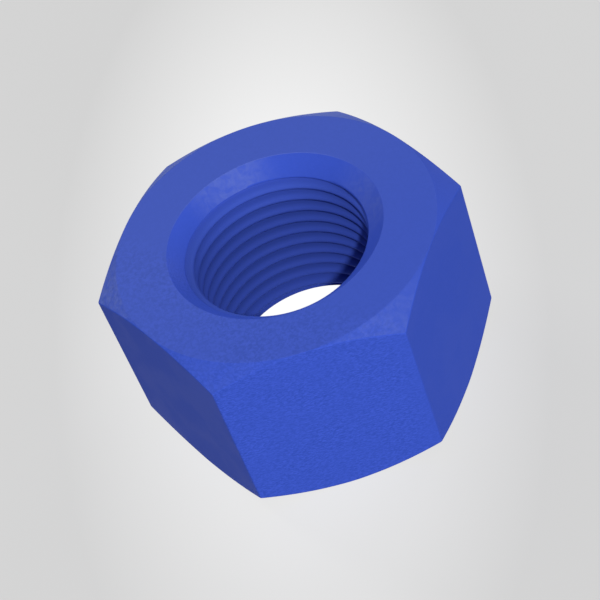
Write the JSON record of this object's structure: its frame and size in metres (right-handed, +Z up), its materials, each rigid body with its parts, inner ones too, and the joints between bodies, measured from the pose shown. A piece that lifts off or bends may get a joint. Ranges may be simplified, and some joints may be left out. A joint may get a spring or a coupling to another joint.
{
  "type": "heavy hex nut",
  "caption": "Heavy hexagon nut with a threaded bore, a countersink and a turned chamfer at each end, and a blue coating.",
  "frame": {"origin": "centre of the lower bearing face, on the bore's axis", "axes": "+Z up the bore to the other bearing face; +X square to one of the six flats; +Y through an upright edge"},
  "size_m": [0.06, 0.0692, 0.0374],
  "materials": {
    "blue_coated_steel": "satin"
  },
  "bodies": {
    "root": {"hex_nut": "blue_coated_steel"}
  },
  "joints": []
}
